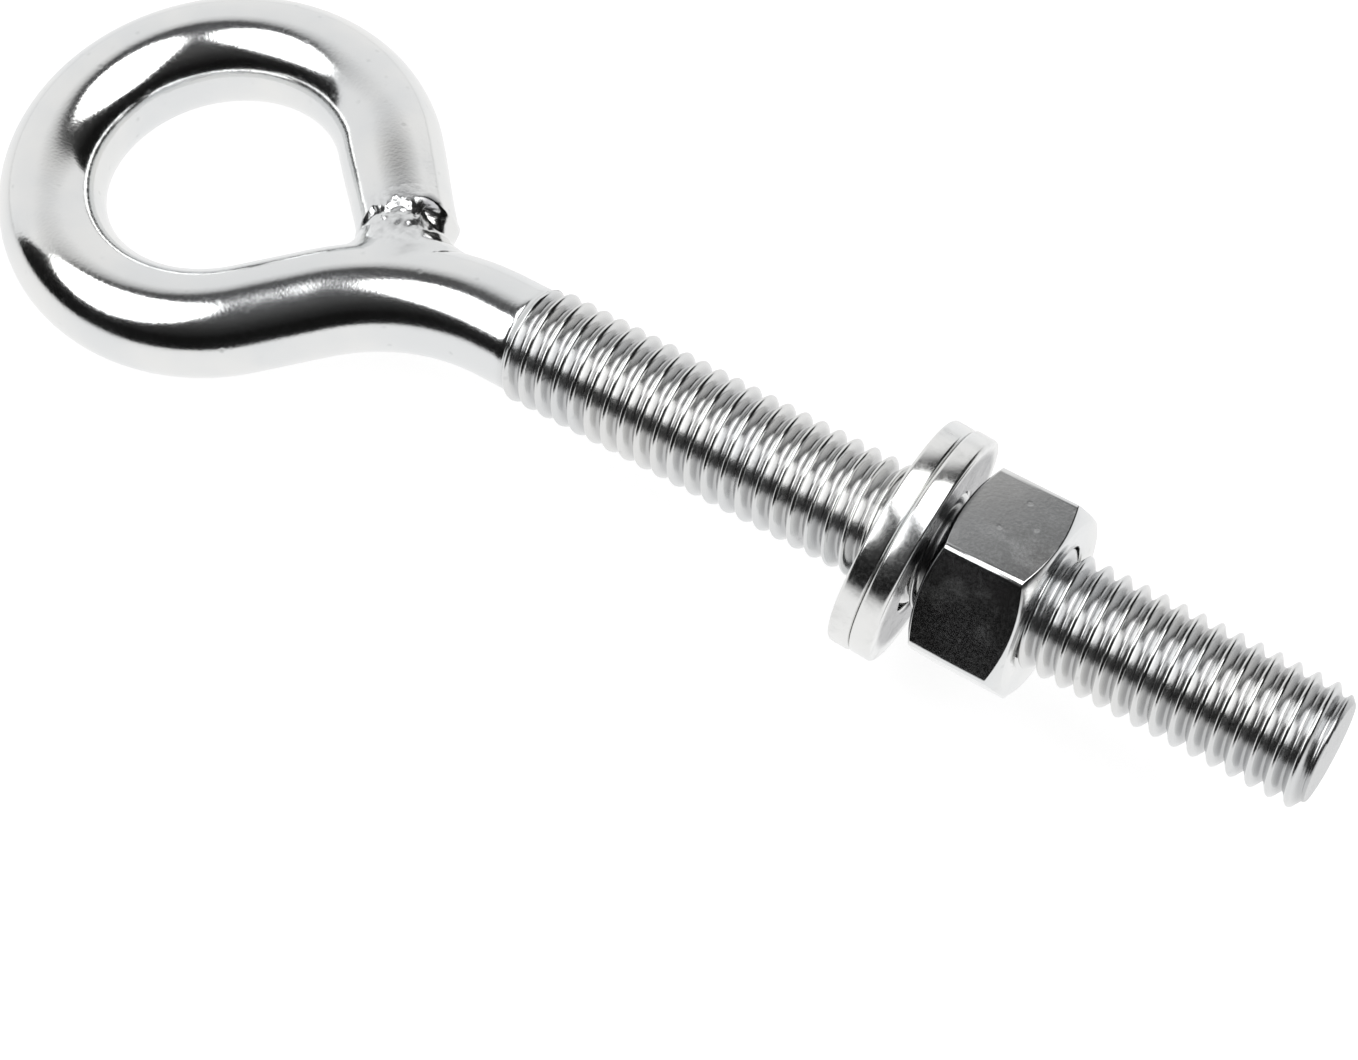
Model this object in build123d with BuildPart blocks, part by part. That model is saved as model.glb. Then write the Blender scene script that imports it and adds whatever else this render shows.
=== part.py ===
from build123d import *
import os
from math import cos, pi, radians, sin, tan

os.makedirs("parts", exist_ok=True)

# Welded eye bolt M8 x 80 with a hex nut and two flat washers.
# Frame: origin at the centre of the eye, +X along the shank towards the thread end,
# +Z square to the plane of the eye. Millimetres.

# Bent rod: eye, neck and shank are one round rod at the thread's blank diameter
ROD_D = 7.1
EYE_R = 11.5  # centreline radius of the ring, so the eye is about 16 mm inside
LEAVE_DEG = 45.0  # the ring runs from -45 deg round the back to +45 deg
NECK_R = 16.0  # centreline radius of the neck's bend back onto the shank axis
TAIL = 7.0  # straight end of the rod, from the ring to its cut face

# Thread M8 x 1.25, right hand, rolled
PITCH = 1.25
CREST_R = 3.93
ROOT_R = 3.25
CREST_FLAT = 0.22
THREAD_START = 25.0
THREAD_END = 81.7
CREST_X = 26.48  # a crest of the thread lies at this x on the +Y side
RUN_OUT = 1.3
TIP_CHAMFER = 0.75

# Nut, size M8 of the small series, 12 mm across flats
NUT_AF = 12.0
NUT_H = 6.4
NUT_X = 56.8
NUT_CORNER_DEG = 113.0  # direction of one corner, from +Y towards +Z
NUT_EDGE_R = 0.4
NUT_FACE_R = 5.8
NUT_ROOT_R = 4.06
NUT_BORE_R = 3.39
THREAD_GAP = 0.1  # clear distance between the flanks of the rod's and the nut's thread

# Flat washers, DIN 125 size M8
WASHER_D = 15.6
WASHER_HOLE_D = 8.4
WASHER_T = 1.5
WASHER_EYE_X = 52.35
WASHER_NUT_X = 53.9
WASHER_EDGE_R = 0.25

# Where the neck and the tail run
lean = radians(LEAVE_DEG)
neck_straight = (EYE_R * sin(lean) - NECK_R * (1 - cos(lean))) / sin(lean)
ring_out = Vector(EYE_R * cos(lean), -EYE_R * sin(lean))
neck_in = ring_out + Vector(cos(lean), sin(lean)) * neck_straight
shank_x = neck_in.X + NECK_R * sin(lean)
ring_in = Vector(EYE_R * cos(lean), EYE_R * sin(lean))
tail_dir = Vector(sin(lean), -cos(lean))


def across(point, direction):
    """Plane square to a direction that lies in the plane of the eye."""
    return Plane(origin=point, x_dir=(0, 0, 1), z_dir=direction)


def screw(crest_r, root_r, crest_flat, first, turns):
    """Solid screw along +X with flat crests, roots and 30 degree flanks.

    A crest is centred at x = first on the +Y side. Both ends are closed by a
    winding ramp down to the axis, so they are trimmed off by the caller.
    """
    flank = (crest_r - root_r) * tan(radians(30))
    stations = [
        (-crest_flat / 2, crest_r),
        (crest_flat / 2, crest_r),
        (crest_flat / 2 + flank, root_r),
        (PITCH - crest_flat / 2 - flank, root_r),
        (PITCH - crest_flat / 2, crest_r),
    ]
    helices = [Edge.make_helix(PITCH, PITCH, r, center=(0, 0, z)).edge() for z, r in stations]
    strips = [Face.make_surface_from_curves(a, b) for a, b in zip(helices, helices[1:])]
    faces = [Pos(0, 0, PITCH * k) * strip for k in range(turns) for strip in strips]
    for z0 in (0, PITCH * turns):
        # the ramp from the first helix to the axis, and the step it leaves
        bottom = Vector(0, 0, z0 + stations[0][0])
        top = bottom + Vector(0, 0, PITCH)
        axis_edge = Edge.make_line(bottom, top)
        rim = Pos(0, 0, z0) * helices[0]
        faces.append(Face.make_surface_from_curves(rim, axis_edge))
        outline = [bottom] + [Vector(r, 0, z0 + z) for z, r in stations] + [top]
        faces.append(Face(Wire.make_polygon(outline, close=True)))
    body = Solid(Shell(faces))
    turned = Plane(origin=(first, 0, 0), x_dir=(0, 1, 0), z_dir=(1, 0, 0))
    return turned.location * body


# 1 the rod bent to shape, still without its thread
with BuildPart() as blank:
    # shank, as far as the thread
    with BuildSketch(across((shank_x, 0), (1, 0, 0))):
        Circle(ROD_D / 2)
    extrude(amount=THREAD_START - shank_x)
    # neck bend
    with BuildSketch(across((shank_x, 0), (1, 0, 0))):
        Circle(ROD_D / 2)
    revolve(axis=Axis((shank_x, -NECK_R, 0), (0, 0, 1)), revolution_arc=LEAVE_DEG)
    # straight between neck bend and ring
    with BuildSketch(across(ring_out, (cos(lean), sin(lean), 0))):
        Circle(ROD_D / 2)
    extrude(amount=neck_straight)
    # ring
    with BuildSketch(across(ring_in, (-sin(lean), cos(lean), 0))):
        Circle(ROD_D / 2)
    revolve(axis=Axis.Z, revolution_arc=360 - 2 * LEAVE_DEG)
    # straight tail down to the neck
    with BuildSketch(across(ring_in, tail_dir)):
        Circle(ROD_D / 2)
    extrude(amount=TAIL)

# the rolled thread, trimmed to its run-out and its chamfered tip
turns = int((THREAD_END - THREAD_START) / PITCH) + 5
with BuildPart() as thread:
    add(screw(CREST_R, ROOT_R, CREST_FLAT, CREST_X - 3 * PITCH, turns))
    with BuildSketch(Plane.XY):
        with BuildLine():
            Polyline(
                (THREAD_START - 0.3, 0),
                (THREAD_START - 0.3, ROOT_R - 0.15),
                (THREAD_START + 0.9, CREST_R + 0.1),
                (THREAD_END - TIP_CHAMFER, CREST_R + 0.1),
                (THREAD_END, ROOT_R - 0.05),
                (THREAD_END, 0),
                close=True,
            )
        make_face()
    revolve(axis=Axis.X, mode=Mode.INTERSECT)

with BuildPart() as eye_rod:
    add(blank.part)
    # the blank thins down to the root of the thread over the run-out
    with BuildSketch(Plane.XY):
        with BuildLine():
            Polyline(
                (THREAD_START - 1, 0),
                (THREAD_START - 1, ROD_D / 2),
                (THREAD_START, ROD_D / 2),
                (THREAD_START + RUN_OUT, ROOT_R - 0.05),
                (THREAD_START + RUN_OUT, 0),
                close=True,
            )
        make_face()
    revolve(axis=Axis.X)
    add(thread.part)
eye_rod.part.label = "eye_rod"

# 2 weld that closes the eye: it fills the corner between the cut end and the neck
BEAD = [
    (6.2, 3.30, 3.30),
    (7.2, 3.74, 3.74),
    (8.6, 3.88, 3.80),
    (10.2, 4.40, 3.66),
    (11.6, 5.30, 3.45),
    (12.9, 6.40, 3.10),
]
with BuildPart() as weld_bead:
    for s, wide, tall in BEAD:
        with BuildSketch(across(ring_in + tail_dir * s, tail_dir)):
            Ellipse(tall, wide)
    loft()
    add(blank.part, mode=Mode.SUBTRACT)
weld_bead.part.label = "weld_bead"


def washer(x):
    """Flat washer whose eye side lies at x."""
    with BuildPart() as disc:
        with BuildSketch(Plane.YZ.offset(x)):
            Circle(WASHER_D / 2)
            Circle(WASHER_HOLE_D / 2, mode=Mode.SUBTRACT)
        extrude(amount=WASHER_T)
        rims = disc.edges().filter_by(GeomType.CIRCLE).sort_by(SortBy.RADIUS)[-2:]
        fillet(rims, WASHER_EDGE_R)
    return disc


# 3 and 4 the two washers
washer_eye_side = washer(WASHER_EYE_X)
washer_eye_side.part.label = "washer_eye_side"
washer_nut_side = washer(WASHER_NUT_X)
washer_nut_side.part.label = "washer_nut_side"

# 5 hex nut
nut_end = NUT_X + NUT_H
corner_r = NUT_AF / 2 / cos(pi / 6)
groove_flat = CREST_FLAT + 2 * (CREST_R - NUT_ROOT_R) * tan(pi / 6) + 2 * THREAD_GAP / cos(pi / 6)
first_groove = CREST_X + PITCH * int((NUT_X - CREST_X) / PITCH - 2)
with BuildPart() as hex_nut:
    with BuildSketch(Plane.YZ.offset(NUT_X)):
        RegularPolygon(corner_r, 6, rotation=NUT_CORNER_DEG)
    extrude(amount=NUT_H)
    fillet(hex_nut.edges().filter_by(Axis.X), NUT_EDGE_R)
    # both ends chamfered at 30 degrees
    drop = (corner_r - NUT_FACE_R) * tan(pi / 6)
    with BuildSketch(Plane.XY):
        with BuildLine():
            Polyline(
                (NUT_X, 0),
                (NUT_X, NUT_FACE_R),
                (NUT_X + drop, corner_r),
                (nut_end - drop, corner_r),
                (nut_end, NUT_FACE_R),
                (nut_end, 0),
                close=True,
            )
        make_face()
    revolve(axis=Axis.X, mode=Mode.INTERSECT)
    # countersinks at both ends of the thread
    for x, side in ((NUT_X, 1), (nut_end, -1)):
        with BuildSketch(Plane.XY):
            with BuildLine():
                Polyline((x, 0), (x, 4.25), (x + side * 0.75, 2.95), (x + side * 0.75, 0), close=True)
            make_face()
        revolve(axis=Axis.X, mode=Mode.SUBTRACT)
    add(screw(NUT_ROOT_R, NUT_BORE_R, groove_flat, first_groove, 10), mode=Mode.SUBTRACT)
hex_nut.part.label = "hex_nut"

export_step(eye_rod.part, "parts/eye_rod.step")
export_step(weld_bead.part, "parts/weld_bead.step")
export_step(washer_eye_side.part, "parts/washer_eye_side.step")
export_step(washer_nut_side.part, "parts/washer_nut_side.step")
export_step(hex_nut.part, "parts/hex_nut.step")

for made in (eye_rod, weld_bead, washer_eye_side, washer_nut_side, hex_nut):
    piece = made.part
    size = piece.bounding_box()
    print(piece.label, round(piece.volume, 1), len(piece.solids()), piece.is_valid, size.min, size.max)
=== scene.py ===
import math

import bmesh
import bpy
import numpy as np
from mathutils import Matrix, Vector


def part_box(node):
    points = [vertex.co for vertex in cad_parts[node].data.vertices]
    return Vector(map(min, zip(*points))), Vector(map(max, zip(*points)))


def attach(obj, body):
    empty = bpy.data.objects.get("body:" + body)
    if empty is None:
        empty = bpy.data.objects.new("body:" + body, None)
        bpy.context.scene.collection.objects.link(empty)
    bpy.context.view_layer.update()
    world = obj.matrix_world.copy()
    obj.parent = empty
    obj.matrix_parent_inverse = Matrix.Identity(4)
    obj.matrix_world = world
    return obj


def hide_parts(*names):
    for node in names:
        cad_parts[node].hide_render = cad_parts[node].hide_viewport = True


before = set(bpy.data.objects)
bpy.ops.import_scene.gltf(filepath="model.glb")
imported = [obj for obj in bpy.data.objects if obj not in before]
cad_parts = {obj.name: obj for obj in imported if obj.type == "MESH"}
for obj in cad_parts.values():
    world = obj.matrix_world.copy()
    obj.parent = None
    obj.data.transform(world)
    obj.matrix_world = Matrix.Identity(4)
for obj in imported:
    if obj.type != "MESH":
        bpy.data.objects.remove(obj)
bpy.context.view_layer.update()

# Welded eye bolt M8 x 80, nut and two washers. Lengths are millimetres as far as the
# materials; every mesh is scaled to metres when it is made. The stage is in metres.
MM = 0.001


def node_box(node):
    """Lowest and highest corner of a CAD node, in millimetres."""
    low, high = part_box(node)
    return np.array(low) / MM, np.array(high) / MM


rod_high = node_box("eye_rod")[1]
nut_low, nut_high = node_box("hex_nut")
eye_washer_low, eye_washer_high = node_box("washer_eye_side")
nut_washer_low = node_box("washer_nut_side")[0]

# Bent rod: a ring left at 45 degrees on both sides, a neck and a straight tail
ROD_R = 3.55
EYE_R = rod_high[1] - ROD_R
LEAVE = math.radians(45)
NECK_R = 16.0
TAIL = 6.45
TAIL_THINNING = 0.2
AROUND = 96

# Thread M8 x 1.25, right hand
PITCH = 1.25
CREST_R = 3.93
ROOT_R = 3.25
CREST_FLAT = 0.22
THREAD_START = 25.0
THREAD_END = rod_high[0]
CREST_X = 26.48  # a crest's place on the side turned to +Y
RUN_OUT = 1.3
TIP_CHAMFER = 0.75
# places across one pitch, counted from the crest, where the thread's surface has points
STATIONS = np.array(
    [-0.17, -0.12, -0.06, 0.0, 0.06, 0.12, 0.17, 0.3, 0.42, 0.49, 0.54, 0.625, 0.71, 0.76, 0.83, 0.95]
)

# Nut
NUT_AF = 12.0
NUT_X = nut_low[0]
NUT_END = nut_high[0]
NUT_CORNER = math.radians(113)  # direction of one corner, from +Y towards +Z
NUT_EDGE_R = 0.4
NUT_FACE_R = 5.8
NUT_BEVEL = 0.07
NUT_ROOT_R = 4.06
NUT_BORE_R = 3.39
SINK_R = 4.25
SINK_SLOPE = 1.3 / 0.75
SINK_DEPTH = 0.75

# Washers
WASHER_R = eye_washer_high[1] - 0.06
WASHER_HOLE_R = 4.2
WASHER_T = eye_washer_high[0] - eye_washer_low[0] - 0.02
WASHER_EDGE_R = 0.25
WASHER_SAG = (-0.14, -0.03)  # they hang a little off the shank's axis, and lean
LEAN = math.radians(7.4)
SWING = math.radians(0.6)


# ---------------------------------------------------------------- mesh helpers
def mesh_piece(name, points, faces, merge=0.0):
    """Closed smooth mesh from points in millimetres."""
    mesh = bpy.data.meshes.new(name)
    mesh.from_pydata((np.asarray(points) * MM).tolist(), [], [list(map(int, f)) for f in faces])
    built = bmesh.new()
    built.from_mesh(mesh)
    if merge:
        bmesh.ops.remove_doubles(built, verts=built.verts, dist=merge * MM)
        bmesh.ops.dissolve_degenerate(built, edges=built.edges, dist=merge * MM)
    bmesh.ops.recalc_face_normals(built, faces=built.faces)
    built.to_mesh(mesh)
    built.free()
    for polygon in mesh.polygons:
        polygon.use_smooth = True
    made = bpy.data.objects.new(name, mesh)
    bpy.context.scene.collection.objects.link(made)
    return made


def bridge(rows, columns, start=0):
    """Quads between consecutive rings of points, each ring closed."""
    faces = []
    for i in range(rows - 1):
        a = start + i * columns
        for j in range(columns):
            k = (j + 1) % columns
            faces.append((a + j, a + k, a + columns + k, a + columns + j))
    return faces


# ---------------------------------------------------------------- the rod and its thread
# RING_IN and RING_OUT are where tail and neck leave the ring; DOWN runs along the tail, UP
# along the neck.
angles = np.arange(AROUND) * 2 * math.pi / AROUND
STRAIGHT = (EYE_R * math.sin(LEAVE) - NECK_R * (1 - math.cos(LEAVE))) / math.sin(LEAVE)
RING_IN = EYE_R * np.array([math.cos(LEAVE), math.sin(LEAVE)])
RING_OUT = EYE_R * np.array([math.cos(LEAVE), -math.sin(LEAVE)])
DOWN = np.array([math.sin(LEAVE), -math.cos(LEAVE)])
UP = np.array([math.cos(LEAVE), math.sin(LEAVE)])
SHANK_X = (RING_OUT + UP * STRAIGHT)[0] + NECK_R * math.sin(LEAVE)


def tail_offset(s):
    """How far the welded tail strays outwards from its straight line, s along it."""
    return -0.045 * np.maximum(np.asarray(s, dtype=float) - 6.6, 0) ** 2


def tail_radius(s):
    """The tail is a little thinner where it was forged and ground."""
    t = np.clip(np.asarray(s, dtype=float) / 7, 0, 1)
    return ROD_R - TAIL_THINNING * t * t * (3 - 2 * t)


def rod_path():
    """Centres, tangents and radii along the rod, tail to thread."""
    runs = []
    for s in np.linspace(TAIL, 0, 36, endpoint=False):
        centre = RING_IN + DOWN * s + UP * tail_offset(s)
        slope = (tail_offset(s + 0.01) - tail_offset(s - 0.01)) / 0.02
        along = -DOWN - UP * slope
        under = min(max((s - 5.6) / 0.85, 0), 1)  # sinks under the weld's skin
        runs.append((centre, along / np.linalg.norm(along), float(tail_radius(s)) - 0.02 * under**2))
    for a in np.linspace(LEAVE, 2 * math.pi - LEAVE, 208, endpoint=False):
        place = EYE_R * np.array([math.cos(a), math.sin(a)])
        runs.append((place, np.array([-math.sin(a), math.cos(a)]), ROD_R))
    for s in np.linspace(0, STRAIGHT, 10, endpoint=False):
        runs.append((RING_OUT + UP * s, UP, ROD_R))
    bend = np.array([SHANK_X, -NECK_R])
    for a in np.linspace(LEAVE, 0, 40, endpoint=False):
        place = bend + NECK_R * np.array([-math.sin(a), math.cos(a)])
        runs.append((place, np.array([math.cos(a), math.sin(a)]), ROD_R))
    for x in np.linspace(SHANK_X, THREAD_START, 8):
        runs.append((np.array([x, 0.0]), np.array([1.0, 0.0]), ROD_R))
    return runs


def thread_profile(s, crest_r, root_r, crest_flat):
    """Radius of the thread at distance s from a crest, its corners slightly rounded."""
    flank = (crest_r - root_r) * math.tan(math.radians(30))
    offsets = np.linspace(-0.11, 0.11, 11)
    total = 0.0
    for o in offsets:
        d = abs((s + o + PITCH / 2) % PITCH - PITCH / 2)
        total += np.interp(d, [crest_flat / 2, crest_flat / 2 + flank], [crest_r, root_r])
    return total / len(offsets)


def helical_rows(first, turns, theta, radius_at):
    """Points of a helical surface: one row of angles for each station of each turn."""
    rows = []
    for k in range(turns):
        for s in STATIONS:
            x = first + k * PITCH + s + PITCH * theta / (2 * math.pi)
            r = np.array([radius_at(xx, s) for xx in x])
            rows.append(np.stack([x, r * np.cos(theta), r * np.sin(theta)], axis=1))
    return rows


def helical_faces(rows, columns, start):
    """Quads of a helical surface; the last column joins the row one turn further on."""
    per_turn = len(STATIONS)
    faces = []
    for i in range(rows - per_turn - 1):
        for j in range(columns):
            last = j == columns - 1
            b = (i + per_turn) * columns if last else i * columns + j + 1
            c = (i + 1 + per_turn) * columns if last else (i + 1) * columns + j + 1
            d = (i + 1) * columns + j
            faces.append((start + i * columns + j, start + b, start + c, start + d))
    return faces


def rod_thread_radius(x, s):
    """Radius of the shank's thread at x, with its run-out and its chamfered tip."""
    x = min(max(x, THREAD_START), THREAD_END)
    envelope = np.interp(
        x,
        [THREAD_START - 0.3, THREAD_START + 0.9, THREAD_END - TIP_CHAMFER, THREAD_END],
        [ROOT_R - 0.15, CREST_R + 0.1, CREST_R + 0.1, ROOT_R - 0.05],
    )
    core = np.interp(x, [THREAD_START, THREAD_START + RUN_OUT], [ROD_R, ROOT_R - 0.05])
    return max(core, min(envelope, thread_profile(s, CREST_R, ROOT_R, CREST_FLAT)))


def build_rod():
    """Bent rod, thread and end face in one closed mesh."""
    points = []
    for centre, along, radius in rod_path():
        side = np.array([-along[1], along[0]])
        for a in angles:
            flat = centre + side * radius * math.cos(a)
            points.append((flat[0], flat[1], radius * math.sin(a)))
    rings = len(points) // AROUND
    faces = [tuple(range(AROUND))] + bridge(rings, AROUND)
    start = len(points)
    turns = int((THREAD_END - THREAD_START) / PITCH) + 5
    first = CREST_X - 3 * PITCH
    rows = helical_rows(first, turns, angles, rod_thread_radius)
    thread = np.concatenate(rows)
    thread[:, 0] = np.clip(thread[:, 0], THREAD_START, THREAD_END)
    points += thread.tolist()
    faces += helical_faces(len(rows), AROUND, start)
    # end face of the thread
    tip = len(points)
    end_r = rod_thread_radius(THREAD_END, 0)
    radii = [end_r, end_r - 0.12, end_r - 0.3, 2.2, 1.2, 0.4]
    for r in radii:
        for a in angles:
            points.append((THREAD_END, r * math.cos(a), r * math.sin(a)))
    faces += bridge(len(radii), AROUND, tip)
    faces.append(tuple(tip + (len(radii) - 1) * AROUND + j for j in range(AROUND)))
    return mesh_piece("eye_rod_visual", points, faces, merge=0.004)


# ---------------------------------------------------------------- the nut
def nut_angles():
    """Angles round the nut, close together at its corners."""
    steps = [0, 0.7, 1.4, 2.0, 2.7, 5, 9, 14, 19, 24.5]
    sector = [math.radians(d) for d in steps + [30] + [60 - d for d in steps[:0:-1]]]
    return np.array([NUT_CORNER + math.pi / 3 * k + d for k in range(6) for d in sector])


def hex_radius(theta):
    """Outside radius of the hexagon with rounded corners."""
    half = math.pi / 6
    t = abs((theta - NUT_CORNER + half) % (2 * half) - half)  # from the nearest corner
    flat = NUT_AF / 2
    centre = (flat - NUT_EDGE_R) / math.cos(half)
    touch = math.atan2(NUT_EDGE_R * math.sin(half), centre + NUT_EDGE_R * math.cos(half))
    if t >= touch:
        return flat / math.cos(half - t)
    return centre * math.cos(t) + math.sqrt(NUT_EDGE_R**2 - (centre * math.sin(t)) ** 2)


def nut_thread_radius(x, s):
    """Radius of the nut's thread at x, with a countersink at both ends."""
    from_end = min(max(x, NUT_X) - NUT_X, NUT_END - min(x, NUT_END))
    sink = SINK_R - SINK_SLOPE * min(from_end, SINK_DEPTH)
    slope = math.pi / 6
    groove = CREST_FLAT + 2 * (CREST_R - NUT_ROOT_R) * math.tan(slope) + 0.2 / math.cos(slope)
    return max(sink, thread_profile(s, NUT_ROOT_R, NUT_BORE_R, groove))


def build_nut():
    """Hexagon nut with chamfered ends, countersinks and internal thread."""
    theta = nut_angles()
    columns = len(theta)
    first = CREST_X + PITCH * int((NUT_X - CREST_X) / PITCH - 2) - PITCH
    # internal thread, its angles counted on from the first corner
    rows = helical_rows(first, 10, theta, nut_thread_radius)
    inner = np.concatenate(rows)
    inner[:, 0] = np.clip(inner[:, 0], NUT_X, NUT_END)
    points = inner.tolist()
    faces = helical_faces(len(rows), columns, 0)
    # outside, from the countersink at one end round to the other
    slope = math.tan(math.pi / 6)
    start = len(points)
    outline = []
    height = NUT_END - NUT_X
    for t in theta:
        full = hex_radius(t)
        drop = (full - NUT_FACE_R) * slope
        near = [
            (0, SINK_R),
            (0, 5.2),
            (0, NUT_FACE_R - 0.08),
            (0.012, NUT_FACE_R),
            (drop * 0.25 + 0.02, NUT_FACE_R + (full - NUT_FACE_R) * 0.25),
            (drop - NUT_BEVEL * 0.5, full - NUT_BEVEL * 0.87),
            (drop + NUT_BEVEL * 0.22, full - NUT_BEVEL * 0.2),
            (drop + NUT_BEVEL, full),
        ]
        far = [(height - x, r) for x, r in reversed(near)]
        outline.append(near + [(height / 2, full)] + far)
    for i in range(len(outline[0])):
        for t, line in zip(theta, outline):
            x, r = line[i]
            points.append((NUT_X + x, r * math.cos(t), r * math.sin(t)))
    faces += bridge(len(outline[0]), columns, start)
    made = mesh_piece("hex_nut_visual", points, faces, merge=0.003)
    keep_flats_flat(made)
    return made


def keep_flats_flat(piece):
    """Normals follow the large faces, so the bevels between them carry all the turn."""
    weighted = piece.modifiers.new("weighted", "WEIGHTED_NORMAL")
    weighted.weight = 100
    weighted.keep_sharp = True


# ---------------------------------------------------------------- the washers
def build_washer(name, x):
    """Flat ring with four rounded edges, leaning on the shank."""
    around = 160
    edge = WASHER_EDGE_R
    low, high = edge, WASHER_T - edge
    inner, outer = WASHER_HOLE_R + edge, WASHER_R - edge
    loop = []
    for cx, cr, start in ((low, outer, 2), (high, outer, 1), (high, inner, 0), (low, inner, -1)):
        for q in range(6):
            a = start * math.pi / 2 - q * math.pi / 10
            loop.append((cx + edge * math.cos(a), cr + edge * math.sin(a)))
    points, faces = [], []
    turn = Matrix.Rotation(LEAN, 3, "Y") @ Matrix.Rotation(SWING, 3, "Z")
    middle = Vector((x + WASHER_T / 2, *WASHER_SAG))
    for k in range(around):
        a = 2 * math.pi * k / around
        for px, r in loop:
            p = Vector((px - WASHER_T / 2, r * math.cos(a), r * math.sin(a)))
            points.append(tuple(middle + turn @ p))
    n = len(loop)
    for k in range(around):
        b = (k + 1) % around
        for i in range(n):
            j = (i + 1) % n
            faces.append((k * n + i, b * n + i, b * n + j, k * n + j))
    made = mesh_piece(name, points, faces)
    keep_flats_flat(made)
    return made


# ---------------------------------------------------------------- the weld
WELD_CENTRE = RING_IN + DOWN * 12.4
WELD_REACH = 7.7
FILLET = 2.0
# round the tail, from its inner side over the top to its outer side: where the bead's edge
# lies along the tail, how deep it is sunk below the tail and over what length
EDGE_TURN = [-180, -90, -60, -33, -18, -4, 12, 24, 32, 44, 56, 90, 180]
EDGE_START = [7.0, 7.1, 7.0, 6.74, 6.9, 6.76, 7.0, 6.86, 6.9, 7.3, 7.6, 7.8, 7.0]
EDGE_DEPTH = [0.25, 0.1, 0.12, 0.27, 0.2, 0.24, 0.24, 0.5, 0.72, 0.82, 0.8, 0.55, 0.25]
EDGE_RUN = [0.8, 0.9, 0.7, 0.5, 1.1, 0.5, 1.05, 0.9, 1.1, 1.2, 1.2, 1.2, 0.8]
# small lumps and pits of the bead: place along the tail, turn round it, height, width
LUMPS = [
    (7.25, -17, 0.10, 0.22),
    (7.85, -22, 0.10, 0.24),
    (7.45, 11, 0.12, 0.26),
    (6.95, -34, -0.14, 0.17),
    (6.9, -5, -0.12, 0.13),
    (7.9, 3, -0.10, 0.16),
    (8.15, 17, -0.10, 0.2),
    (8.7, 9, 0.07, 0.3),
    (8.9, -4, -0.05, 0.25),
    (9.9, 28, -0.04, 0.4),
    (9.1, 40, -0.04, 0.35),
    (7.6, 150, 0.15, 0.5),
    (7.8, -120, 0.14, 0.5),
    (7.5, 100, 0.12, 0.4),
]


def waves(x, y, z):
    """Gentle repeatable roughness between about -1 and 1."""
    a = np.sin(1.9 * x + 1.3 * np.sin(1.1 * y + 0.7)) * np.sin(2.3 * y + 0.9 * np.sin(1.7 * z))
    b = np.sin(5.1 * x - 2.2 * y + 1.0) * np.sin(4.7 * z + 2.9 * y)
    return 0.7 * a + 0.3 * b


def round_tail(turn, values):
    """Softened value at an angle round the tail."""
    return sum(np.interp(turn + o, EDGE_TURN, values) for o in (-7, -3.5, 0, 3.5, 7)) / 5


def tail_surface(points):
    """Signed distance to the tail with the bead's edge, lumps and pits."""
    flat = points[:, :2] - RING_IN
    s = flat @ DOWN
    u = flat @ UP - tail_offset(s)
    turn = np.degrees(np.arctan2(u, points[:, 2]))
    start = round_tail(turn, EDGE_START)
    depth = round_tail(turn, EDGE_DEPTH)
    run = round_tail(turn, EDGE_RUN)
    t = np.clip((s - start) / run, 0, 1)
    filled = np.clip((s - 8.9) / 1.9, 0, 1)  # weld metal fills up towards the neck
    sunk = depth * t * t * (3 - 2 * t) * (1 - filled * filled * (3 - 2 * filled))
    radius = tail_radius(s) - sunk
    for place, angle, height, width in LUMPS:
        off = (turn - angle + 180) % 360 - 180
        arc = np.radians(off) * ROD_R
        radius = radius + height * np.exp(-((s - place) ** 2 + arc**2) / width**2)
    on_bead = np.clip((s - 6.7) / 0.8, 0, 1)
    radius = radius + 0.013 * on_bead * waves(points[:, 0] * 2, points[:, 1] * 2, points[:, 2] * 2)
    hidden = 0.008 * np.clip((6.1 - s) / 0.5, 0, 1)  # under the rod's own skin further back
    return np.maximum(np.hypot(u, points[:, 2]) - radius + hidden, s - 12.9)


def neck_surface(points):
    """Signed distance to the neck: a straight run, a bend and the shank."""
    x, y, z = points.T
    bend = points[:, :2] - np.array([SHANK_X, -NECK_R])
    on_bend = np.hypot(np.hypot(bend[:, 0], bend[:, 1]) - NECK_R, z)
    flat = points[:, :2] - RING_OUT
    on_run = np.hypot(flat @ -DOWN, z)
    before = bend @ UP < 0
    inside = np.where(before, on_run, on_bend)
    return np.where(x > SHANK_X, np.hypot(y, z), inside) - ROD_R


def weld_surface(points):
    tail, neck = tail_surface(points), neck_surface(points)
    along = (points[:, :2] - RING_IN) @ DOWN
    t = np.clip((along - 10.8) / 2.0, 0, 1)
    fillet = FILLET * (1 - 0.97 * t * t * (3 - 2 * t))  # none beyond the neck's crown
    z = points[:, 2]
    off = (points[:, :2] - RING_IN) @ UP - tail_offset(along)
    alike = (z / np.hypot(off, z)) * (z / (neck + ROD_R))  # the skins run the same way on top
    fillet = fillet * (1 - 0.85 * np.clip(alike, 0, 1))
    near = np.maximum(fillet - np.abs(tail - neck), 0) / fillet
    bulge = near * near * fillet / 4
    under = np.clip((tail - neck) / 1.5, 0, 1)
    joined = np.minimum(tail, neck) - bulge + 0.03 * under * under * (3 - 2 * under)
    away = np.linalg.norm(points - np.append(WELD_CENTRE, 0), axis=1)
    return np.maximum(joined, away - WELD_REACH)


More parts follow.
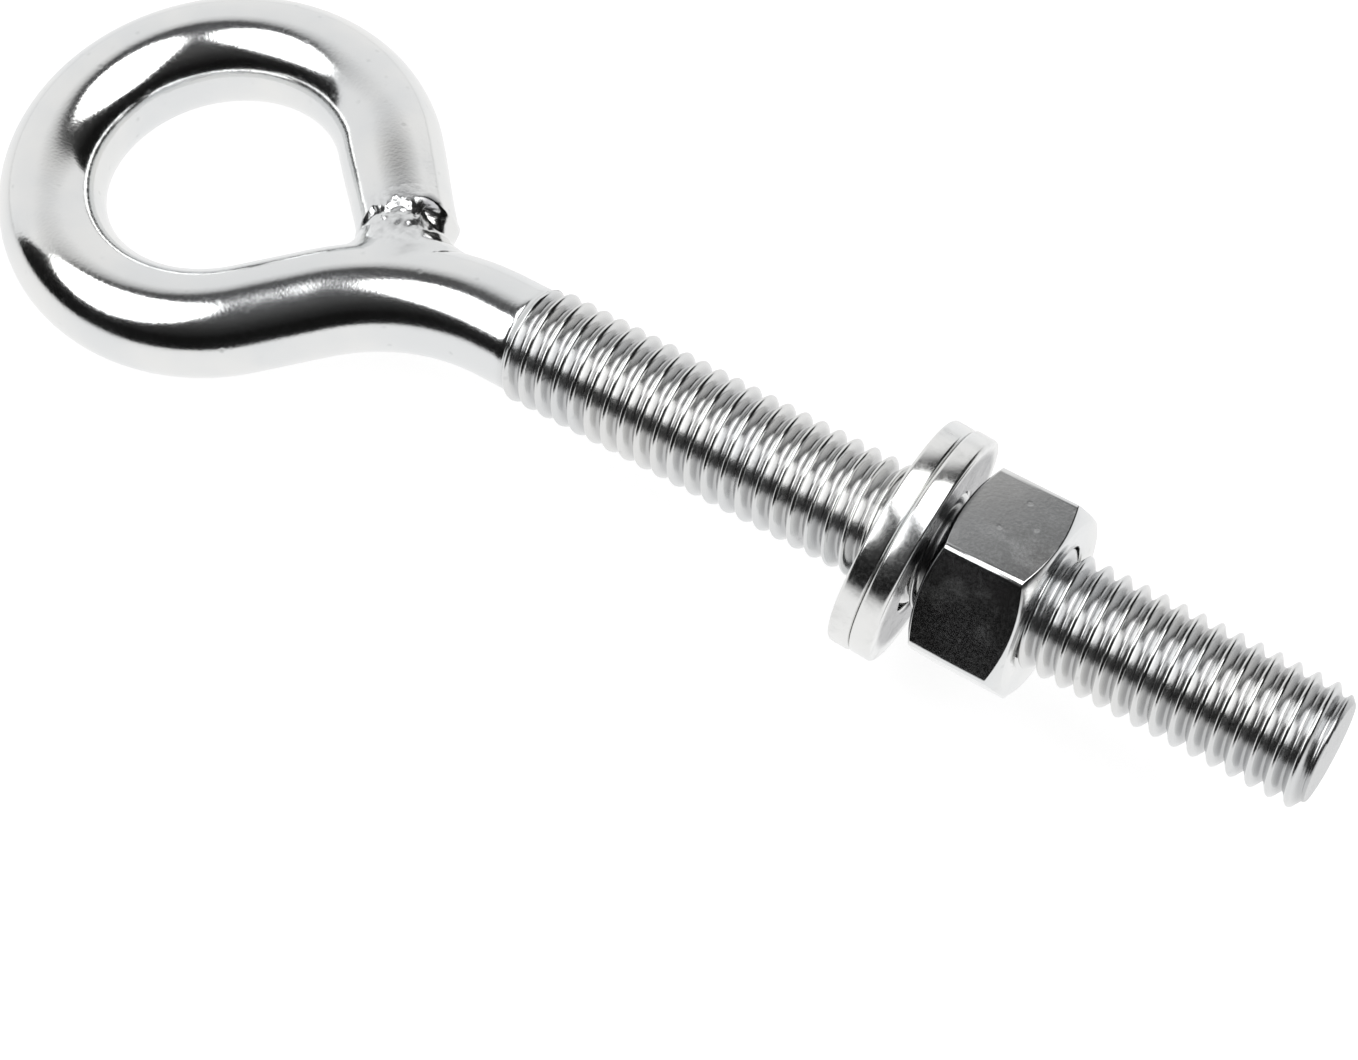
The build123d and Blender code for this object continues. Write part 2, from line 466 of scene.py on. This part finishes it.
def build_weld():
    """Skin over tail, bead and neck, found along rays fanned out from the tail's axis."""
    around = 216
    fan = np.linspace(0, 1, 76)
    start = np.concatenate((np.linspace(5.0, 8.3, 86, endpoint=False), 8.3 + 2.4 * fan))
    tilt = np.concatenate((np.full(86, math.pi / 2), math.pi / 2 + math.radians(88) * fan))
    spin = np.arange(around) * 2 * math.pi / around
    tilt, turn = np.meshgrid(tilt, spin, indexing="ij")
    back = np.append(-DOWN, 0)
    side = np.append(UP, 0)
    top = np.array([0.0, 0.0, 1.0])
    rays = (
        np.cos(tilt)[..., None] * back
        + (np.sin(tilt) * np.sin(turn))[..., None] * side
        + (np.sin(tilt) * np.cos(turn))[..., None] * top
    ).reshape(-1, 3)
    origin = np.append(RING_IN, 0) - back * np.repeat(start, around)[:, None]
    low = np.zeros(len(rays))
    high = np.full(len(rays), 2.0 * WELD_REACH)
    for _ in range(26):
        middle = (low + high) / 2
        outside = weld_surface(origin + rays * middle[:, None]) > 0
        high = np.where(outside, middle, high)
        low = np.where(outside, low, middle)
    points = origin + rays * ((low + high) / 2)[:, None]
    rows = len(start)
    faces = [tuple(range(around))] + bridge(rows, around)
    faces.append(tuple((rows - 1) * around + j for j in range(around)))
    return mesh_piece("weld_bead_visual", points, faces)


rod = build_rod()
nut = build_nut()
weld = build_weld()
washer_a = build_washer("washer_eye_side_visual", eye_washer_low[0] - 0.04)
washer_b = build_washer("washer_nut_side_visual", nut_washer_low[0] - 0.08)


# ---------------------------------------------------------------- materials
def node(tree, kind, **settings):
    """New node of a kind, with its settings."""
    made = tree.nodes.new(kind)
    for key, value in settings.items():
        setattr(made, key, value)
    return made


def noise(tree, place, scale, detail):
    """Cloudy pattern between 0 and 1."""
    made = node(tree, "ShaderNodeTexNoise")
    made.inputs["Scale"].default_value = scale
    made.inputs["Detail"].default_value = detail
    tree.links.new(place, made.inputs["Vector"])
    return made.outputs["Fac"]


def spread(tree, value, low, high, to_low, to_high):
    """Smooth change from to_low to to_high as value goes from low to high."""
    made = node(tree, "ShaderNodeMapRange", interpolation_type="SMOOTHSTEP")
    for socket, number in zip(made.inputs[1:5], (low, high, to_low, to_high)):
        socket.default_value = number
    tree.links.new(value, made.inputs[0])
    return made.outputs[0]


def maths(tree, operation, a, b):
    """Two sockets or numbers put together."""
    made = node(tree, "ShaderNodeMath", operation=operation)
    for socket, item in zip(made.inputs, (a, b)):
        if isinstance(item, (int, float)):
            socket.default_value = item
        else:
            tree.links.new(item, socket)
    return made.outputs[0]


def blend_colour(tree, factor, first, second):
    """Colour between two colours or colour sockets."""
    made = node(tree, "ShaderNodeMix", data_type="RGBA")
    tree.links.new(factor, made.inputs["Factor"])
    for socket, item in ((made.inputs[6], first), (made.inputs[7], second)):
        if isinstance(item, tuple):
            socket.default_value = item + (1,)
        else:
            tree.links.new(item, socket)
    return made.outputs[2]


PALE = (0.83, 0.83, 0.82)
GREY = (0.77, 0.78, 0.785)
SPECK = (0.34, 0.35, 0.35)
# dark colour for the pieces' own darker tone and for painted shade
DARK_TONE_AND_SHADE = (0.14, 0.14, 0.15)


def steel(name, roughness, grain, dents, worked):
    """Polished steel: cloudy tone, fine grain, shallow dents, scattered specks.

    grain and dents are heights in millimetres. worked is a function that gives the piece's own
    added roughness, its darkness from 0 to 1, partly its own darker tone and partly painted shade,
    and its added height in millimetres.
    """
    material = bpy.data.materials.new(name)
    material.use_nodes = True
    tree = material.node_tree
    shader = tree.nodes["Principled BSDF"]
    shader.inputs["Metallic"].default_value = 1
    place = node(tree, "ShaderNodeTexCoord").outputs["Object"]
    cloud = noise(tree, place, 140, 3)
    fine = noise(tree, place, 5200, 2)
    wavy = noise(tree, place, 330, 1)
    specks = node(tree, "ShaderNodeTexVoronoi")
    specks.inputs["Scale"].default_value = 620
    tree.links.new(place, specks.inputs["Vector"])
    speck = spread(tree, specks.outputs["Distance"], 0.03, 0.16, 1, 0)
    colour = blend_colour(tree, spread(tree, cloud, 0.35, 0.65, 0, 1), PALE, GREY)
    colour = blend_colour(tree, maths(tree, "MULTIPLY", speck, 0.12), colour, SPECK)
    rough = spread(tree, fine, 0.3, 0.7, roughness * 0.82, roughness * 1.18)
    rough = maths(tree, "ADD", rough, spread(tree, cloud, 0.4, 0.7, -0.01, 0.025))
    rough = maths(tree, "ADD", rough, maths(tree, "MULTIPLY", speck, 0.08))
    height = maths(tree, "MULTIPLY", fine, grain)
    height = maths(tree, "ADD", height, maths(tree, "MULTIPLY", wavy, dents))
    height = maths(tree, "SUBTRACT", height, maths(tree, "MULTIPLY", speck, 0.004))
    more_rough, darker, more_height = worked(tree, place)
    rough = maths(tree, "ADD", rough, more_rough)
    colour = blend_colour(tree, darker, colour, DARK_TONE_AND_SHADE)
    height = maths(tree, "ADD", height, more_height)
    bump = node(tree, "ShaderNodeBump")
    bump.inputs["Strength"].default_value = 1
    bump.inputs["Distance"].default_value = MM
    tree.links.new(height, bump.inputs["Height"])
    tree.links.new(colour, shader.inputs["Base Color"])
    tree.links.new(rough, shader.inputs["Roughness"])
    tree.links.new(bump.outputs[0], shader.inputs["Normal"])
    return material


def split(tree, place):
    """X, Y and Z of a vector."""
    made = node(tree, "ShaderNodeSeparateXYZ")
    tree.links.new(place, made.inputs[0])
    return made.outputs


def distance(tree, place, point):
    """Distance from a point given in metres."""
    made = node(tree, "ShaderNodeVectorMath", operation="DISTANCE")
    made.inputs[1].default_value = point
    tree.links.new(place, made.inputs[0])
    return made.outputs["Value"]


def from_axis(tree, place):
    """Distance from the shank's axis, in metres."""
    x, y, z = split(tree, place)
    squares = [maths(tree, "MULTIPLY", v, v) for v in (y, z)]
    return maths(tree, "SQRT", maths(tree, "ADD", *squares), 0)


def colour_ramp(tree, factor, stops):
    """Colour that changes along a list of (position, red, green, blue)."""
    made = node(tree, "ShaderNodeValToRGB")
    elements = made.color_ramp.elements
    elements[1].position, elements[1].color = stops[-1][0], (*stops[-1][1:], 1)
    elements[0].position, elements[0].color = stops[0][0], (*stops[0][1:], 1)
    for position, *colour in stops[1:-1]:
        elements.new(position).color = (*colour, 1)
    tree.links.new(factor, made.inputs["Fac"])
    return made.outputs["Color"]


def thread_work(tree, place):
    """Rolled thread: duller flanks, a slightly darker tone all over, and painted shade that makes the
    roots darker than the burnished crests.
    """
    x = split(tree, place)[0]
    on_thread = spread(tree, x, (THREAD_START - 0.3) * MM, (THREAD_START + 1.2) * MM, 0, 1)
    radius = from_axis(tree, place)
    root = spread(tree, radius, (ROOT_R + 0.02) * MM, (CREST_R - 0.08) * MM, 1, 0)
    streak = noise(tree, place, 1500, 2)
    rough = maths(tree, "ADD", maths(tree, "MULTIPLY", root, 0.07), 0.05)
    # painted shade: the roots are painted up to 0.3 darker, over a 0.1 darker tone of the whole
    # thread
    shade = maths(tree, "ADD", maths(tree, "MULTIPLY", root, 0.3), 0.1)
    bumps = maths(tree, "MULTIPLY", streak, 0.002)
    return [maths(tree, "MULTIPLY", on_thread, value) for value in (rough, shade, bumps)]


def weld_work(tree, place):
    """The bead is rough, with painted shade in a pit at its outer edge; towards tail and neck it is
    ground smooth.
    """
    bead = np.append(RING_IN + DOWN * 8.0, 3.0) * MM
    near = spread(tree, distance(tree, place, bead), 1.2 * MM, 3.4 * MM, 1, 0)
    turn = math.radians(36)  # from the top of the tail to its outer side
    outer = RING_IN + DOWN * 7.6 + UP * ROD_R * math.sin(turn)
    pit = np.append(outer, ROD_R * math.cos(turn)) * MM
    # painted shade: the pit in the bead's outer edge is painted nearly black
    painted_pit_shade = spread(tree, distance(tree, place, pit), 0.5 * MM, 1.2 * MM, 0.85, 0)
    crust = noise(tree, place, 1900, 4)
    rough = maths(tree, "MULTIPLY", near, 0.07)
    shade = maths(tree, "MULTIPLY", near, spread(tree, crust, 0.35, 0.75, 0, 0.25))
    shade = maths(tree, "MAXIMUM", shade, painted_pit_shade)
    bumps = maths(tree, "MULTIPLY", maths(tree, "MULTIPLY", crust, near), 0.035)
    return rough, shade, bumps


def nut_work(tree, place):
    """Cold-formed faces with faint patches; painted shade on the end that faces the washer."""
    patches = noise(tree, place, 420, 3)
    rough = spread(tree, patches, 0.5, 0.7, 0, 0.05)
    x = split(tree, place)[0]
    # painted shade: the end face and chamfer next to the washer are painted dark
    washer_gap_shade = spread(tree, x, (NUT_X + 0.05) * MM, (NUT_X + 0.5) * MM, 0.85, 0)
    shade = maths(tree, "MAXIMUM", spread(tree, patches, 0.55, 0.75, 0, 0.1), washer_gap_shade)
    return rough, shade, maths(tree, "MULTIPLY", patches, 0.0004)


def washer_work(tree, place):
    """Stamped sheet: fine turning marks, faces worn in patches, painted shade on the face that looks
    towards the nut.
    """
    radius = from_axis(tree, place)
    rings = node(tree, "ShaderNodeMath", operation="SINE")
    tree.links.new(maths(tree, "MULTIPLY", radius, 30000), rings.inputs[0])
    worn = noise(tree, place, 600, 3)
    rough = spread(tree, worn, 0.4, 0.7, 0, 0.06)
    facing = split(tree, node(tree, "ShaderNodeNewGeometry").outputs["Normal"])[0]
    to_nut = spread(tree, facing, 0.5, 0.9, 0, 1)
    # painted shade: the face towards the nut is painted dark inside the nut's width
    nut_gap_shade = maths(tree, "MULTIPLY", to_nut, spread(tree, radius, 6.4 * MM, 7.2 * MM, 0.92, 0))
    shade = maths(tree, "MAXIMUM", spread(tree, worn, 0.5, 0.8, 0, 0.15), nut_gap_shade)
    return rough, shade, maths(tree, "MULTIPLY", rings.outputs[0], 0.0012)


looks = {
    "rod_steel": steel("rod_steel_look", 0.12, 0.004, 0.012, thread_work),
    "weld_steel": steel("weld_steel_look", 0.12, 0.004, 0.012, weld_work),
    "washer_steel": steel("washer_steel_look", 0.18, 0.002, 0.008, washer_work),
    "nut_steel": steel("nut_steel_look", 0.14, 0.002, 0.001, nut_work),
}

for piece, body, node_name, slot in (
    (rod, "bolt", "eye_rod", "rod_steel"),
    (weld, "bolt", "weld_bead", "weld_steel"),
    (nut, "nut", "hex_nut", "nut_steel"),
    (washer_a, "eye_side_washer", "washer_eye_side", "washer_steel"),
    (washer_b, "nut_side_washer", "washer_nut_side", "washer_steel"),
):
    piece.data.materials.append(looks[slot])
    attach(piece, body)
    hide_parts(node_name)


# ---------------------------------------------------------------- floor, light, camera
# The studio is a small white table with a white board behind, two softboxes overhead, one on
# each side of the camera, and a dark room in front. Metres from here on.
STAGE_TURN = math.radians(48)  # direction of the board's right-hand end, from +X
TABLE_SLOPE = math.radians(3.9)  # slope of a bolt that lies on its ring and its washers
LIGHT_HEIGHT = 0.3
BOARD_DISTANCE = 0.122
BOARD_HALF_WIDTH = 0.235
BOARD_HEIGHT = 0.235


def stage_sheet(name, corners, material):
    """Flat four-cornered sheet that belongs to the studio."""
    mesh = bpy.data.meshes.new(name)
    mesh.from_pydata(corners, [], [(0, 1, 2, 3)])
    mesh.materials.append(material)
    made = bpy.data.objects.new(name, mesh)
    bpy.context.scene.collection.objects.link(made)
    return made


def floor_material():
    """White table that glows. The camera sees it evenly bright with faint shadows; what the steel
    mirrors of it is painted light that falls off away from the bolt.
    """
    material = bpy.data.materials.new("floor_white")
    material.use_nodes = True
    tree = material.node_tree
    shader = tree.nodes["Principled BSDF"]
    shader.inputs["Base Color"].default_value = (0.3, 0.3, 0.3, 1)
    shader.inputs["Roughness"].default_value = 0.9
    shader.inputs["Specular IOR Level"].default_value = 0.0
    shader.inputs["Emission Color"].default_value = (1, 1, 1, 1)
    shader.inputs["Emission Strength"].default_value = 0.86
    away = distance(tree, node(tree, "ShaderNodeNewGeometry").outputs["Position"], (0.035, 0, 0))
    # painted light: the glow the steel mirrors, brightest near the bolt
    glow = node(tree, "ShaderNodeEmission")
    tree.links.new(spread(tree, away, 0.04, 0.3, 0.98, 0.5), glow.inputs["Strength"])
    rays = node(tree, "ShaderNodeLightPath")
    mix = node(tree, "ShaderNodeMixShader")
    tree.links.new(rays.outputs["Is Camera Ray"], mix.inputs[0])
    tree.links.new(glow.outputs[0], mix.inputs[1])
    tree.links.new(shader.outputs[0], mix.inputs[2])
    tree.links.new(mix.outputs[0], tree.nodes["Material Output"].inputs["Surface"])
    return material


def board_material():
    """White board that glows by itself, hidden from the camera; its painted light is even over most
    of its height and fades towards its top and its +X, +Y end.
    """
    material = bpy.data.materials.new("board_white")
    material.use_nodes = True
    tree = material.node_tree
    tree.nodes.clear()
    place = node(tree, "ShaderNodeNewGeometry").outputs["Position"]
    x, y, z = split(tree, place)
    glow = node(tree, "ShaderNodeEmission")
    end = node(tree, "ShaderNodeOutputMaterial")
    across = maths(tree, "MULTIPLY", maths(tree, "ADD", x, y), 0.42)
    share = maths(tree, "ADD", maths(tree, "DIVIDE", z, BOARD_HEIGHT), across)
    greys = ((0, 0.93), (0.55, 0.9), (0.75, 0.66), (0.85, 0.45), (0.92, 0.26), (1, 0.12))
    fade = colour_ramp(tree, share, [(position, v, v, v) for position, v in greys])
    tree.links.new(fade, glow.inputs["Color"])
    tree.links.new(glow.outputs[0], end.inputs["Surface"])
    return material


def stage_point(across, back, up):
    """Point given across the stage to the right, towards the board, and up."""
    c, s = math.cos(STAGE_TURN), math.sin(STAGE_TURN)
    return (across * c - back * s, across * s + back * c, up)


# table top, in line with ring and washers and low enough for the washers run up to the eye
reach = 4.0
washer_foot = (0.0535, -0.0101)
table = []
for x, y in ((-reach, -reach), (reach, -reach), (reach, reach), (-reach, reach)):
    table.append((x, y, washer_foot[1] - (x - washer_foot[0]) * math.tan(TABLE_SLOPE)))
floor = stage_sheet("floor", table, floor_material())

board = stage_sheet(
    "board",
    [
        stage_point(-BOARD_HALF_WIDTH, BOARD_DISTANCE, -0.02),
        stage_point(BOARD_HALF_WIDTH, BOARD_DISTANCE, -0.02),
        stage_point(BOARD_HALF_WIDTH, BOARD_DISTANCE, BOARD_HEIGHT),
        stage_point(-BOARD_HALF_WIDTH, BOARD_DISTANCE, BOARD_HEIGHT),
    ],
    board_material(),
)
board.visible_camera = False


def softbox(name, across, back, long_side, short_side, turn, radiance):
    """Level oval softbox over the table; places and sizes are shares of its height."""
    data = bpy.data.lights.new(name, "AREA")
    data.shape = "ELLIPSE"
    data.size = long_side * LIGHT_HEIGHT
    data.size_y = short_side * LIGHT_HEIGHT
    data.energy = radiance * math.pi * data.size * data.size_y * math.pi / 4
    made = bpy.data.objects.new(name, data)
    bpy.context.scene.collection.objects.link(made)
    made.location = stage_point(across * LIGHT_HEIGHT, back * LIGHT_HEIGHT, LIGHT_HEIGHT)
    made.rotation_euler = (0, 0, STAGE_TURN + math.radians(turn))
    made.visible_camera = False
    return made


softbox("softbox_right", 0.64, -0.35, 1.70, 1.06, -50, 2.4)
softbox("softbox_left", -0.87, -0.02, 1.46, 1.14, 0, 2.4)


def studio_world():
    """Dark room round the table, a little lighter near the table and overhead."""
    world = bpy.data.worlds.new("studio")
    bpy.context.scene.world = world
    world.use_nodes = True
    tree = world.node_tree
    tree.nodes.clear()
    room = node(tree, "ShaderNodeBackground")
    pale = node(tree, "ShaderNodeBackground")
    pale.inputs["Color"].default_value = (1.0, 1.0, 1.0, 1)
    rays = node(tree, "ShaderNodeLightPath")
    mix = node(tree, "ShaderNodeMixShader")
    end = node(tree, "ShaderNodeOutputWorld")
    upward = split(tree, node(tree, "ShaderNodeTexCoord").outputs["Generated"])[2]
    greys = [(0, 0.02), (0.05, 0.006), (0.4, 0.006), (0.65, 0.03), (0.85, 0.07)]
    stops = [(position, v, v, v) for position, v in greys] + [(1, 0.085, 0.085, 0.09)]
    tree.links.new(colour_ramp(tree, upward, stops), room.inputs["Color"])
    tree.links.new(rays.outputs["Is Camera Ray"], mix.inputs[0])
    tree.links.new(room.outputs[0], mix.inputs[1])
    tree.links.new(pale.outputs[0], mix.inputs[2])
    tree.links.new(mix.outputs[0], end.inputs["Surface"])


studio_world()
bpy.context.scene.view_settings.view_transform = "Standard"

# the camera looks steeply down on the bolt from the thread end's side
HEADING = math.radians(129.54)
DOWN_TILT = math.radians(59.10)
ROLL = math.radians(-7.36)
CAMERA_PLACE = (0.1001, -0.07836, 0.15485)
camera_data = bpy.data.cameras.new("camera")
camera_data.sensor_width = 36
camera_data.lens = 77.86
camera = bpy.data.objects.new("camera", camera_data)
bpy.context.scene.collection.objects.link(camera)
bpy.context.scene.camera = camera
forward = Vector((
    math.cos(HEADING) * math.cos(DOWN_TILT),
    math.sin(HEADING) * math.cos(DOWN_TILT),
    -math.sin(DOWN_TILT),
))
level = forward.cross(Vector((0, 0, 1))).normalized()
right = level * math.cos(ROLL) + level.cross(forward) * math.sin(ROLL)
up = right.cross(forward)
camera.rotation_mode = "QUATERNION"
camera.rotation_quaternion = Matrix((right, up, -forward)).transposed().to_quaternion()
camera.location = CAMERA_PLACE

bpy.context.view_layer.update()
